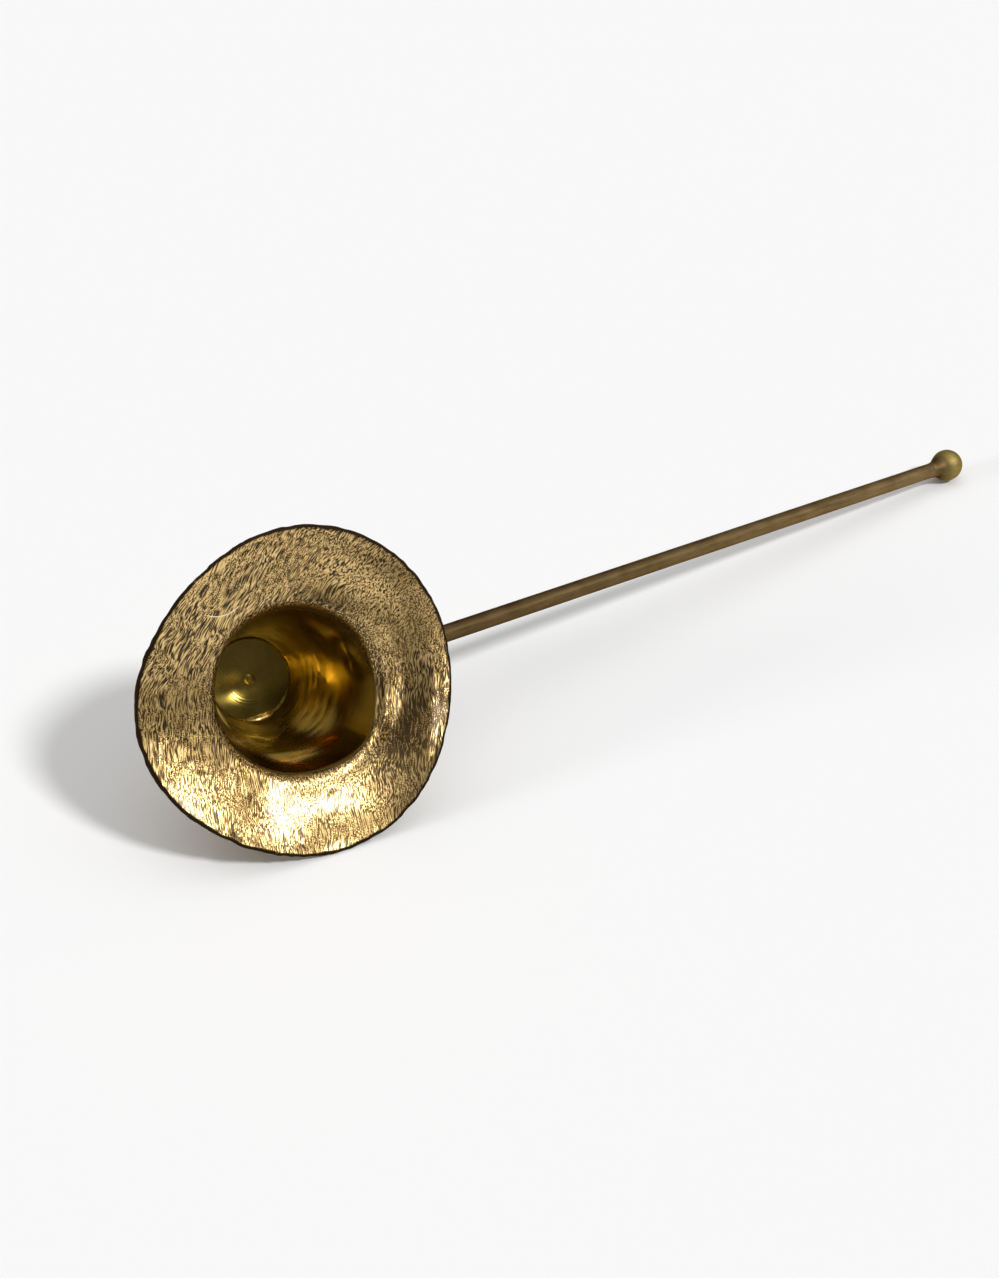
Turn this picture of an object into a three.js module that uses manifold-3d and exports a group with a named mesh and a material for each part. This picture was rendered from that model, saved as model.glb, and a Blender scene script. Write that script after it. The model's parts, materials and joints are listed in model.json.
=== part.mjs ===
// A hand-formed brass candle snuffer: a flared bell with a wavy brim, closed at its narrow end by a
// brazed-in disc, on a straight rod handle that is riveted through the bell's wall and ends in a ball.
// Millimetres, +Z up. The snuffer lies on a table as it does when it is put down: on the brim, on the
// edge of the crown and on the ball. The origin is under the middle of its box, on the table, and the
// handle runs along +X with the bell's mouth towards -Y.
import * as THREE from "three";
import { mergeVertices } from "three/addons/utils/BufferGeometryUtils.js";
import Module from "manifold-3d";

// Bell
const BRIM_RADIUS = 33.1; // bell axis to rim, before the lobes below
const BELL_HEIGHT = 44.7; // crown face to rim, along the axis
const BRIM_RISE = 5.5; // throat to rim, along the axis
const BRIM_CURL = 0.1; // how far the middle of the brim hangs below a straight slope
const THROAT_RADIUS = 17.6; // where the lines of wall and brim meet, inside
const THROAT_ROLL = 2.8; // run of the rounding from wall to brim, each way
const CROWN_RADIUS = 9; // inside the narrow end
const WALL = 1.6;
const RIM_WALL = 1; // the brim is hammered thinner towards its rim
const RIM_ROUND = 0.4; // how far the worn edge of the rim stands out past its corners

// Hand-worked waves of the brim: so many times round it, by so many millimetres, with a crest at the given
// angle from the handle. Lobes push the rim outwards and ripples push it towards the mouth. Bulges push
// the middle of the brim towards the mouth.
const WAVE_ONSET = 1.5; // power of the growth of lobes and ripples from throat to rim
const LOBES = [
  { count: 1, size: 1.1, crest: -168 },
  { count: 2, size: 0.95, crest: 62 },
  { count: 3, size: 0.95, crest: 53 },
  { count: 4, size: 0.2, crest: 17 },
];
const RIPPLES = [
  { count: 1, size: 2.4, crest: 6 },
  { count: 2, size: 0.6, crest: -14 },
  { count: 3, size: 1.5, crest: -5 },
  { count: 4, size: 0.45, crest: 37 },
];
const BULGES = [
  { count: 3, size: 0.5, crest: 9 },
  { count: 4, size: 0.2, crest: 8 },
];

// Crown: the turned disc that closes the bell, and the braze that holds it
const CROWN_THICKNESS = 1.6;
const PIP_RADIUS = 1.3; // raised centre left by the lathe
const PIP_HEIGHT = 0.5;
const CROWN_BEAD = 1.2; // leg of the braze fillet, on the disc and on the wall

// Handle
const ROD_DIAMETER = 4;
const HANDLE_REACH = 213.1; // bell axis to the middle of the ball
const HANDLE_HEIGHT = 30.3; // crown face to where the handle's line meets the bell's axis
const TENON_DIAMETER = 2.6; // turned-down ends that enter the wall and the ball
const ROOT_BEAD = 2.2; // leg of the braze fillet round the rod's root
const PEEN_RADIUS = 3; // hammered head of the tenon, inside the bell
const PEEN_HEIGHT = 1;

// Ball
const BALL_DIAMETER = 8.8;
const BALL_BORE_DEPTH = 5;
const NECK_LENGTH = 2.8; // braze fillet along the rod
const NECK_RADIUS = 3.3; // and out on the ball

// Gap between pieces that touch
const SEAT_GAP = 0.25;

// How far the hollow face of a braze fillet bends towards its corner
const BEAD_HOLLOW = 0.6;

// Facets
const BELL_SEGMENTS = 96;
const ROUND_SEGMENTS = 28;

const wasm = await Module();
wasm.setup();

const brass = (name, color, roughness) =>
  new THREE.MeshStandardMaterial({ name, color, roughness, metalness: 1 });
const brushedBrass = brass("brushed_brass", 0xb08d4f, 0.45);
const turnedBrass = brass("turned_brass", 0xa9985a, 0.25);
const satinBrass = brass("satin_brass", 0x8a6f41, 0.4);
const brazeBrass = brass("braze", 0xc9a24e, 0.35);

// The cone of the wall, from the crown up to the throat.
const throatHeight = BELL_HEIGHT - BRIM_RISE;
const coneAngle = Math.atan((THROAT_RADIUS - CROWN_RADIUS) / throatHeight);
const wallRadius = (z) => CROWN_RADIUS + z * Math.tan(coneAngle);
const wallAcross = WALL / Math.cos(coneAngle); // thickness measured square to the axis
const crownEdgeRadius = CROWN_RADIUS + wallAcross;

const point = (r, z) => new THREE.Vector2(r, z);

// Turns a profile of (radius, height) points round +Z.
function revolve(profile, segments) {
  return new THREE.LatheGeometry(profile, segments).rotateX(Math.PI / 2);
}

// A closed geometry as a solid for joining and cutting.
function toSolid(geometry) {
  const bare = geometry.clone();
  bare.deleteAttribute("normal");
  bare.deleteAttribute("uv");
  const merged = mergeVertices(bare, 1e-4);
  return new wasm.Manifold(
    new wasm.Mesh({
      numProp: 3,
      vertProperties: merged.attributes.position.array,
      triVerts: new Uint32Array(merged.index.array),
    }),
  );
}

function toGeometry(solid) {
  const mesh = solid.getMesh();
  const geometry = new THREE.BufferGeometry();
  geometry.setAttribute("position", new THREE.BufferAttribute(mesh.vertProperties, 3));
  geometry.setIndex(new THREE.BufferAttribute(mesh.triVerts, 1));
  geometry.computeVertexNormals();
  return geometry;
}

const cut = (geometry, tool) => toGeometry(toSolid(geometry).subtract(toSolid(tool)));

function piece(name, geometry, material) {
  const mesh = new THREE.Mesh(geometry, material);
  mesh.name = name;
  return mesh;
}

// The hollow face of a braze fillet between two feet that meet in a corner.
function filletFace(start, corner, end) {
  const bend = start.clone().lerp(end, 0.5).lerp(corner, BEAD_HOLLOW);
  return new THREE.QuadraticBezierCurve(start, bend, end).getPoints(4);
}

// The bell's face from crown to rim: the cone, the rounding at the throat and the dished brim.
function bellFace() {
  const wallTop = point(
    THROAT_RADIUS - THROAT_ROLL * Math.sin(coneAngle),
    throatHeight - THROAT_ROLL * Math.cos(coneAngle),
  );
  const corner = point(THROAT_RADIUS, throatHeight);
  const rim = point(BRIM_RADIUS, BELL_HEIGHT);
  const dish = corner.clone().lerp(rim, 0.5).sub(point(0, 2 * BRIM_CURL));
  const brimStart = corner.clone().add(dish.clone().sub(corner).setLength(THROAT_ROLL));
  const wall = new THREE.LineCurve(point(CROWN_RADIUS, 0), wallTop);
  const roll = new THREE.QuadraticBezierCurve(wallTop, corner, brimStart);
  const brim = new THREE.QuadraticBezierCurve(brimStart, dish, rim);
  return [...wall.getPoints(3), ...roll.getPoints(5).slice(1), ...brim.getPoints(7).slice(1)];
}

function shellThickness(radius) {
  const share = THREE.MathUtils.smoothstep(radius, THROAT_RADIUS + THROAT_ROLL, BRIM_RADIUS);
  return THREE.MathUtils.lerp(WALL, RIM_WALL, share);
}

// The same line moved back by the shell's thickness, for the outside.
function offsetLine(line) {
  return line.map((at, i) => {
    const before = line[Math.max(i - 1, 0)];
    const after = line[Math.min(i + 1, line.length - 1)];
    const along = after.clone().sub(before).normalize();
    return at.clone().add(point(along.y, -along.x).multiplyScalar(shellThickness(at.x)));
  });
}

const bellInside = bellFace();
const bellOutside = offsetLine(bellInside);
bellOutside[0] = point(crownEdgeRadius, 0);
const rimEdge = bellInside.at(-1).clone().lerp(bellOutside.at(-1), 0.5);
rimEdge.add(bellInside.at(-1).clone().sub(bellInside.at(-2)).setLength(RIM_ROUND));

const wave = (terms, angle) =>
  terms.reduce(
    (sum, { count, size, crest }) =>
      sum + size * Math.cos(count * (angle - THREE.MathUtils.degToRad(crest))),
    0,
  );

// Moves a point of the round bell to its place on the wavy one: nothing at the throat, all at the rim.
function waved(at) {
  const radius = Math.hypot(at.x, at.y);
  const angle = Math.atan2(at.y, at.x);
  const share = Math.max(radius - THROAT_RADIUS, 0) / (BRIM_RADIUS - THROAT_RADIUS);
  const weight = Math.pow(share, WAVE_ONSET);
  const swell = Math.sin(Math.PI * Math.min(share, 1)) ** 2;
  const reach = radius + weight * wave(LOBES, angle);
  return new THREE.Vector3(
    reach * Math.cos(angle),
    reach * Math.sin(angle),
    at.z + weight * wave(RIPPLES, angle) + swell * wave(BULGES, angle),
  );
}

function waveBrim(geometry) {
  const places = geometry.getAttribute("position");
  const at = new THREE.Vector3();
  for (let i = 0; i < places.count; i += 1) {
    const moved = waved(at.fromBufferAttribute(places, i));
    places.setXYZ(i, moved.x, moved.y, moved.z);
  }
  return geometry;
}

// The handle's own frame: its origin on the bell's axis, +Z out along the rod, square to the wall.
const handle = new THREE.Group();
handle.position.set(0, 0, HANDLE_HEIGHT);
const handleWay = new THREE.Vector3(Math.cos(coneAngle), 0, -Math.sin(coneAngle));
handle.quaternion.setFromUnitVectors(new THREE.Vector3(0, 0, 1), handleWay);
handle.updateMatrix();

const rodRadius = ROD_DIAMETER / 2;
const tenonRadius = TENON_DIAMETER / 2;
const ballRadius = BALL_DIAMETER / 2;
const wallInside = wallRadius(HANDLE_HEIGHT) * Math.cos(coneAngle);
const wallOutside = wallInside + WALL;
const peenSag = PEEN_RADIUS ** 2 / (2 * wallInside); // the head's edge meets the hollow wall first
const peenBase = wallInside - peenSag - SEAT_GAP;
const shoulder = wallOutside + SEAT_GAP;
const ballSeat = HANDLE_REACH - Math.sqrt(ballRadius ** 2 - rodRadius ** 2);

function makeBell() {
  const outline = [...bellOutside, rimEdge, ...bellInside.toReversed(), bellOutside[0]];
  const shell = revolve(outline, BELL_SEGMENTS);
  const drill = new THREE.CylinderGeometry(
    tenonRadius + SEAT_GAP,
    tenonRadius + SEAT_GAP,
    4 * WALL,
    ROUND_SEGMENTS,
  );
  drill.rotateX(Math.PI / 2).translate(0, 0, (wallInside + wallOutside) / 2);
  drill.applyMatrix4(handle.matrix);
  return piece("bell", cut(waveBrim(shell), drill), brushedBrass);
}

// A plug wedged in the narrow end, flush with it, with the lathe's centre pip on its inner face.
function makeCrownDisc() {
  const profile = [
    point(0, 0),
    point(wallRadius(0) - SEAT_GAP, 0),
    point(wallRadius(CROWN_THICKNESS) - SEAT_GAP, CROWN_THICKNESS),
    point(PIP_RADIUS, CROWN_THICKNESS),
    point(PIP_RADIUS / 2, CROWN_THICKNESS + PIP_HEIGHT),
    point(0, CROWN_THICKNESS + PIP_HEIGHT / 2),
  ];
  return piece("crown_disc", revolve(profile, BELL_SEGMENTS / 2), turnedBrass);
}

function makeCrownBead() {
  const foot = CROWN_THICKNESS + SEAT_GAP;
  const corner = point(wallRadius(foot) - SEAT_GAP, foot);
  const onDisc = point(corner.x - CROWN_BEAD, foot);
  const onWall = point(wallRadius(foot + CROWN_BEAD) - SEAT_GAP, foot + CROWN_BEAD);
  const profile = [corner, ...filletFace(onWall, corner, onDisc), corner];
  return piece("crown_braze_bead", revolve(profile, BELL_SEGMENTS / 2), brazeBrass);
}

// One turned rod: peened head, tenon through the wall, shoulder, shank, and a spigot in the ball.
function makeRod() {
  const quarter = [1.5 * Math.PI, 2 * Math.PI];
  const headFace = new THREE.EllipseCurve(0, peenBase, PEEN_RADIUS, PEEN_HEIGHT, ...quarter).getPoints(6);
  headFace[0].x = 0;
  const spigotEnd = ballSeat - SEAT_GAP + BALL_BORE_DEPTH - SEAT_GAP;
  const profile = [
    ...headFace,
    point(tenonRadius, peenBase),
    point(tenonRadius, shoulder),
    point(rodRadius, shoulder),
    point(rodRadius, ballSeat - SEAT_GAP),
    point(tenonRadius, ballSeat - SEAT_GAP),
    point(tenonRadius, spigotEnd),
    point(0, spigotEnd),
  ];
  return piece("handle_rod", revolve(profile, ROUND_SEGMENTS), satinBrass);
}

// The fillet of braze round the rod's root, its foot cut to the cone of the wall.
function makeRootBead() {
  const inside = rodRadius + SEAT_GAP;
  const outside = rodRadius + ROOT_BEAD;
  const base = wallOutside - WALL;
  const face = filletFace(
    point(outside, wallOutside),
    point(inside, wallOutside),
    point(inside, wallOutside + ROOT_BEAD),
  );
  const profile = [point(inside, base), point(outside, base), ...face, point(inside, base)];
  const ring = revolve(profile, ROUND_SEGMENTS);
  const clearance = wallAcross + SEAT_GAP / Math.cos(coneAngle);
  const cone = revolve(
    [
      point(0, 0),
      point(wallRadius(0) + clearance, 0),
      point(wallRadius(BELL_HEIGHT) + clearance, BELL_HEIGHT),
      point(0, BELL_HEIGHT),
    ],
    BELL_SEGMENTS,
  );
  return piece("handle_root_braze", cut(ring.applyMatrix4(handle.matrix), cone), brazeBrass);
}

// A turned ball with a flat for the rod's shoulder and a blind bore for its spigot.
function makeBall() {
  const bore = tenonRadius + SEAT_GAP;
  const seatAngle = Math.asin(rodRadius / ballRadius) - Math.PI / 2;
  const sweep = [seatAngle, Math.PI / 2];
  const skin = new THREE.EllipseCurve(0, HANDLE_REACH, ballRadius, ballRadius, ...sweep).getPoints(14);
  skin.at(-1).x = 0;
  const bottom = ballSeat + BALL_BORE_DEPTH;
  const profile = [point(0, bottom), point(bore, bottom), point(bore, ballSeat), ...skin];
  return piece("ball_finial", revolve(profile, ROUND_SEGMENTS), satinBrass);
}

// The fillet of braze between rod and ball.
function makeNeckBead() {
  const inside = rodRadius + SEAT_GAP;
  const around = ballRadius + SEAT_GAP;
  const onBall = (radius) => HANDLE_REACH - Math.sqrt(around ** 2 - radius ** 2);
  const start = point(inside, ballSeat - NECK_LENGTH);
  const end = point(NECK_RADIUS, onBall(NECK_RADIUS));
  const corner = point(inside, onBall(inside));
  const middle = (inside + NECK_RADIUS) / 2;
  const profile = [...filletFace(start, corner, end), point(middle, onBall(middle)), corner, start];
  return piece("finial_neck_braze", revolve(profile, ROUND_SEGMENTS), satinBrass);
}

// The way that is down when the snuffer lies on its rim, its crown edge and its ball, in the bell's frame:
// square to the plane through the three points that reach furthest that way.
function restingDown(ballCentre) {
  const rim = [];
  const steps = 720;
  for (let i = 0; i < steps; i += 1) {
    const angle = (2 * Math.PI * i) / steps;
    const level = new THREE.Vector3(rimEdge.x, 0, rimEdge.y);
    rim.push(waved(level.applyAxisAngle(new THREE.Vector3(0, 0, 1), angle)));
  }
  const down = new THREE.Vector3(0, -1, 0);
  for (let turn = 0; turn < 50; turn += 1) {
    const onRim = rim.reduce((best, at) => (at.dot(down) > best.dot(down) ? at : best));
    const onCrown = new THREE.Vector3(down.x, down.y, 0).setLength(crownEdgeRadius);
    const onBall = ballCentre.clone().addScaledVector(down, ballRadius);
    const square = onCrown.sub(onRim).cross(onBall.sub(onRim)).normalize();
    down.copy(square.dot(down) < 0 ? square.negate() : square);
  }
  return down;
}

const bell = new THREE.Group();
bell.add(makeBell(), makeCrownDisc(), makeCrownBead(), makeRootBead(), handle);
handle.add(makeRod(), makeBall(), makeNeckBead());

// Lay the snuffer down: its resting side to -Z, its handle along +X, its box over the origin.
const up = restingDown(handle.position.clone().addScaledVector(handleWay, HANDLE_REACH)).negate();
const along = handleWay.clone().addScaledVector(up, -handleWay.dot(up)).normalize();
const across = up.clone().cross(along);
bell.setRotationFromMatrix(new THREE.Matrix4().makeBasis(along, across, up).transpose());

const snuffer = new THREE.Group();
snuffer.name = "candle_snuffer";
snuffer.add(bell);
const box = new THREE.Box3().setFromObject(snuffer, true);
const middle = box.getCenter(new THREE.Vector3());
bell.position.set(-middle.x, -middle.y, -box.min.z);

export default snuffer;
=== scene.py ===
# A hand-formed brass candle snuffer lying on a pale table: a bell with a wavy flared brim, closed by a
# brazed-in disc, on a straight rod that ends in a ball. Metres, +Z up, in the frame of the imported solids.
import json
import math
from types import SimpleNamespace

import bmesh
import bpy
import numpy as np
from mathutils import Matrix, Vector, noise


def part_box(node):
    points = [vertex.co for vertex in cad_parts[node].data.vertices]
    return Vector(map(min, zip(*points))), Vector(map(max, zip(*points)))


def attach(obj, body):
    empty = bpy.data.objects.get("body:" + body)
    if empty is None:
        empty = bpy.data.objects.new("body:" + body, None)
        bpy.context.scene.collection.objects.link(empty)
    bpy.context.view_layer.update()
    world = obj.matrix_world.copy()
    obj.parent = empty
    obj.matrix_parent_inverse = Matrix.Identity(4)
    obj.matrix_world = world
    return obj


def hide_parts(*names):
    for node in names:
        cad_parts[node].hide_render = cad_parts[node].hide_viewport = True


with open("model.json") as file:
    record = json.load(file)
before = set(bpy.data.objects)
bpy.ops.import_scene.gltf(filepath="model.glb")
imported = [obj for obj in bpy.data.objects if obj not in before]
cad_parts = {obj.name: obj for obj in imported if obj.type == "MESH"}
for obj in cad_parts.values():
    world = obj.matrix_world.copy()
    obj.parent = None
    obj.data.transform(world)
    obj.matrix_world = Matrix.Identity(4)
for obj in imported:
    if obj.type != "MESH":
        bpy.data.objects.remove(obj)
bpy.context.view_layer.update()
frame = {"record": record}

MM = 0.001

# Bell. Angles on it are degrees from the handle's side, counter-clockwise as seen into the mouth.
BRIM_RADIUS = 33.1 * MM
BELL_HEIGHT = 44.7 * MM
BRIM_RISE = 5.5 * MM
BRIM_CURL = 0.1 * MM
THROAT_RADIUS = 17.6 * MM
THROAT_ROLL = 2 * MM
CROWN_RADIUS = 9 * MM
WALL = 1.6 * MM
RIM_WALL = 1 * MM
RIM_ROUND = 0.4 * MM

# Waves of the brim: times round, size, angle of the crest. Lobes push the rim outwards and ripples push it
# towards the mouth. Bulges push the brim's middle towards the mouth, and folds its inner half.
WAVE_ONSET = 1.5
LOBES = [(1, 1.1 * MM, -168), (2, 0.95 * MM, 62), (3, 0.95 * MM, 53), (4, 0.2 * MM, 17)]
RIPPLES = [(1, 2.4 * MM, 6), (2, 0.6 * MM, -14), (3, 1.5 * MM, -5), (4, 0.45 * MM, 37)]
BULGES = [(3, 0.5 * MM, 9), (4, 0.2 * MM, 8)]
FOLDS = [(2, 0.15 * MM, -21), (3, 0.2 * MM, -16), (4, 0.25 * MM, -4)]

# The throat bulges on one side: angle, spread, size, how far the bulge reaches
THROAT_BULGE = (-50, 26, 1.6 * MM, 3.5 * MM)

# Troughs beside the throat, inside the lip and across the lower brim: angle, spread, radius, width, depth
TROUGHS = [
    (-28, 42, 19.2 * MM, 2 * MM, 1.7 * MM),
    (-24, 34, 29.6 * MM, 1.8 * MM, 0.45 * MM),
    (-124, 11, 25.5 * MM, 5 * MM, 0.7 * MM),
]

# A ridge across the lower cup: angle, spread, height, width, size
CUP_RIDGE = (-90, 26, 28.5 * MM, 3.5 * MM, 0.5 * MM)

# Hand work on the bell: how far the skin wanders, and over what distance
SKIN_INSET = 0.18 * MM
FORGED = [(0.18 * MM, 8 * MM), (0.03 * MM, 2.2 * MM)]
FORGED_BACK = 0.5
DENTS = [(0.22 * MM, 6 * MM), (0.05 * MM, 2.4 * MM)]
DENT_HEIGHTS = (8 * MM, 32 * MM)
CRINKLES = (0.14 * MM, 9 * MM, 2.6 * MM)
CALM_RIM = 2 * MM
NICK_DEPTH = 0.4 * MM
NICKS = [(1, 6 * MM), (0.5, 2 * MM)]
NICKED_RIM = 2.5 * MM
RIM_SINK = 0.07 * MM

# Gouges in the brim: angle, radius, way they run, length, width, depth
GOUGES = [
    (113, 26.2 * MM, 55, 1.3 * MM, 0.4 * MM, 0.16 * MM),
    (112, 28.4 * MM, 75, 0.9 * MM, 0.35 * MM, 0.12 * MM),
    (99, 31.4 * MM, 20, 1.1 * MM, 0.35 * MM, 0.14 * MM),
    (93, 31.6 * MM, 10, 0.8 * MM, 0.35 * MM, 0.14 * MM),
    (148, 30 * MM, 50, 1.7 * MM, 0.35 * MM, 0.14 * MM),
    (140, 26.9 * MM, 50, 1.5 * MM, 0.4 * MM, 0.14 * MM),
    (-88, 22.1 * MM, 30, 1.1 * MM, 0.5 * MM, 0.12 * MM),
    (-156, 25.9 * MM, -30, 1.6 * MM, 0.35 * MM, 0.12 * MM),
    (-132, 31.8 * MM, -40, 0.8 * MM, 0.7 * MM, 0.14 * MM),
]

# A bright scratch in the brim: part of a circle below a line
SCRATCH_CENTRE = (-11.8 * MM, 26.1 * MM)
SCRATCH_RADIUS = 6.9 * MM
SCRATCH_TOP = 20.2 * MM
SCRATCH_WIDTH = 0.16 * MM

# Brushing starts inside the throat, a little later at one side, and fades in slowly at the high side.
BRUSH_LEAD = 1.9 * MM
BRUSH_LAG = 1.2 * MM
BRUSH_FADE = 0.5 * MM
HIGH_FADE = 7 * MM
LAG_SIDE = -110

# Sides of the bell: middle angle, and cosines of the angle from it where the side starts and is full
HIGH_SIDE = (66, 0.2, 0.9)
LOW_SIDE = (-120, -0.1, 0.5)

# Browning on the rim and in a smudge, and painted shade in a line at the throat's bend: angle, spread,
# radius, width, share. The painted shade line is stronger on the low side and weaker on the high one.
BROWNED_RIM = 0.13 * MM
SHADE_LINE_WIDTH = 0.5 * MM
LINE_SHARE = 0.65
LINE_LOW_GAIN = 0.3
LINE_HIGH_LOSS = 0.6
BROWNED_GOUGE = 0.2 * MM
BROWN_PATCHES = [(1, 3 * MM), (0.6, 0.8 * MM)]
SMUDGE = (58, 20, 19.4 * MM, 1.6 * MM, 0.55)

# Painted shade on the throat's roll and in places on the brim, painted highlights where the share is below
# nothing: angle, spread, radius, width, share
SHADED_ROLL = 1.8 * MM
PAINTED_SHADES_AND_HIGHLIGHTS = [
    (-38, 25, 25 * MM, 3.6 * MM, 1.4),
    (-176, 13, 25 * MM, 6 * MM, 0.45),
    (-22, 22, 31 * MM, 2 * MM, 0.9),
    (35, 30, 26 * MM, 6 * MM, -0.35),
    (112, 14, 32.2 * MM, 0.6 * MM, -1.2),
]

# Soot in the cup: a ring round the crown between two heights, and smears: angle, spread, height, width,
# share, and how streaky they are
SOOT_RING = (5.5 * MM, 8.5 * MM)
SOOT_RING_SHARE = 0.5
SMEARS = [(-112, 43, 9 * MM, 9 * MM, 1.4, 0.6), (50, 23, 31 * MM, 5 * MM, 0.45, 0)]
STREAK_SHAPE = (9, 9, 1.6)
STREAKS = [(1, 1 * MM), (0.6, 0.4 * MM)]

# The side of the cup that is rubbed and rough, with painted light in its brighter colour: where it starts
# and is full, across and in height
WORN_SIDE = (3.5 * MM, 6.5 * MM)
WORN_SLANT = 0.9
WORN_FOOT = (7.5 * MM, 9.5 * MM)
WORN_TOP = (17 * MM, 22 * MM)

# Painted glows in the cup, in a less metallic gold: angle, spread, height, width, share
PAINTED_GLOWS = [(-98, 22, 28.5 * MM, 3.6 * MM, 1), (-52, 21, 17 * MM, 8 * MM, 1.3)]

# Crown. Dents in the disc: across, up, width, depth. The bead reaches into the wall at its root and its
# edge, has lumps on its face, and is fullest at one side, and clean there.
CROWN_THICKNESS = 1.6 * MM
CROWN_LIP = 0.2 * MM
PIP_RADIUS = 1.3 * MM
PIP_HEIGHT = 0.25 * MM
DISC_DENTS = [
    (-3.5 * MM, -0.8 * MM, 2.7 * MM, 0.56 * MM),
    (-6.5 * MM, -1 * MM, 2.6 * MM, 0.22 * MM),
]
CROWN_BEAD = 1.2 * MM
BEAD_SINK = 0.2 * MM
BEAD_ROOT = 0.3 * MM
BEAD_EDGE = 0.1 * MM
BEAD_FACE = (-0.2 * MM, 0.3 * MM)
BEAD_LUMPS = [(0.5 * MM, 5 * MM), (0.14 * MM, 1.6 * MM)]
BEAD_LUMP_RISE = 0.6
BEAD_SIDE = -80
BEAD_SPREAD = 40
BEAD_LEAST = 0.3
CLEAN_SIDE = -82
CLEAN_SPREAD = 28
BEAD_SOOT = 0.9

# Handle. The tenon's head is dressed down, and the wall swells beside it. The rod's shoulder, the tenon's
# end and its polish lie a little below the wall's outside.
ROD_RADIUS = 2 * MM
HANDLE_REACH = 213.1 * MM
HANDLE_HEIGHT = 30.3 * MM
SHOULDER_SINK = 0.2 * MM
TENON_RADIUS = 1.3 * MM
TENON_SINK = 0.3 * MM
POLISH_SINK = 0.4 * MM
SPIGOT = 1 * MM
PEEN_RADIUS = 3 * MM
PEEN_HEIGHT = 0.3 * MM
PEEN_TAPER = 0.2 * MM
PEEN_SINK = 0.5 * MM
PEEN_SWELL = 0.85 * MM
PEEN_SPREAD = 3.8 * MM
PEEN_TURN = 9
PEEN_RISE = 4.5 * MM
BALL_RADIUS = 4.4 * MM
SEAT_LAP = 0.3 * MM
SEAT_DEPTH = 0.2 * MM

# Braze round the rod, at the cup and at the ball. A hollow is given as its bend: out from the rod, and
# along it. The neck's inner end is given the same way: in from the neck, and along it.
BRAZE_OVERLAP = 0.2 * MM
ROOT_BEAD = 2.2 * MM
ROOT_DEPTH = 0.9 * WALL
ROOT_ROUND = 0.4 * MM
ROOT_BULGE = 0.1 * MM
ROOT_HOLLOW = (0.5 * MM, 0.1 * MM)
ROOT_EDGE = 0.03 * MM
ROOT_CALM = 1 * MM
ROOT_LUMPS = [(0.22 * MM, 2.4 * MM), (0.08 * MM, 0.8 * MM)]
NECK_LENGTH = 2.8 * MM
NECK_RADIUS = 3.3 * MM
NECK_EDGE = 0.02 * MM
NECK_HOLLOW = (0.3 * MM, 0.1 * MM)
NECK_LIP = 0.05 * MM
NECK_SINK = (0.5 * MM, 0.3 * MM)

# Strokes of the brush, steep at the low side and flatter towards the top right: way they run, length.
# They flatten between two heights and two places across, and bend: over what distance, how far.
BRUSH_STROKES = [(76, 2.6 * MM), (50, 2.8 * MM), (38, 3.6 * MM)]
BRUSH_WIDTH = 0.25 * MM
FLATTER_UP = (0, 14 * MM)
FLATTER_ACROSS = (-2 * MM, 16 * MM)
BRUSH_BEND = (5 * MM, 1.8 * MM)
BRUSH_CURL = 0.5
BRUSH_RELIEF = 0.05 * MM
CUP_RELIEF_SHARE = 0.1

# Patches with more or less of the strokes, the tones where grooves end and gold starts, and the heights
# where grooves change colour
TONE_PATCHES = 5 * MM
PATCH_SPAN = (0.42, 0.58)
STROKE_SHARES = (0.55, 0.95)
GROOVE_TONES = (0.38, 0.51)
GOLD_TONES = (0.5, 0.62)
# How far painted shade and painted highlights shift the tone
PAINTED_LIGHT_LIFT = 0.1
GROOVE_HEIGHTS = (-12 * MM, -2 * MM)
BELL_CLOUDS = 9 * MM

# Finish of the other pieces: sizes of their marks, clouds and specks, and depths of their relief. Fibres
# are counts in a length, spans and tones are parts of a noise's range.
CLOUD_SPAN = (0.3, 0.7)
TENON_RUBS = (20, 2 * MM, 0.2 * MM)
TENON_RELIEF = 0.01 * MM
LATHE_RINGS = 0.35 * MM
DISC_CLOUDS = 4 * MM
DISC_SHADE = (-6 * MM, -1 * MM)
DISC_RELIEF = 0.02 * MM
FIBRES_ACROSS = 3.5 / MM
FIBRES_ALONG = 0.12 / MM
ROD_CLOUDS = 5 * MM
ROD_SPECKS = 0.5 * MM
ROD_TONES = (0.35, 0.65)
ROD_RELIEF = 0.02 * MM
BRAZE_CLOUDS = 1.5 * MM
BRAZE_SPECKS = 0.3 * MM
BRAZE_TONES = (0.35, 0.6)
BRAZE_RELIEF = 0.03 * MM

# Satin brass gets clearer from a place on the rod to the ball. Past the neck it has the ball's look, which
# gets rougher and clearer: from and to, before the ball's centre
ROD_CLEARING = 20 * MM
NECK_BLEND = (8 * MM, 5 * MM)
BALL_ROUGHENING = (5 * MM, 3 * MM)
BALL_CLEARING = (4.5 * MM, 0.5 * MM)

# Colours. A pair runs from one to the other: the grooves' towards the low side, the rest in clouds or marks.
BRUSH_GOLD = (0.83, 0.58, 0.235, 1)
BRUSH_BROWN = [(0.27, 0.168, 0.055, 1), (0.36, 0.228, 0.079, 1)]
GROOVES = [(0.038, 0.023, 0.009, 1), (0.085, 0.052, 0.018, 1)]
CUP_BRASS = [(0.48, 0.385, 0.14, 1), (0.57, 0.465, 0.19, 1)]
# Rubbed brass, brighter as painted light on the cup's lit side
WORN_LIT_BRASS = (0.95, 0.77, 0.3, 1)
CUP_SOOT = (0.16, 0.108, 0.024, 1)
# Gold of the painted glows in the cup
GLOW_GOLD = (0.95, 0.68, 0.14, 1)
SCRATCH_GOLD = (0.95, 0.8, 0.5, 1)
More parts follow.
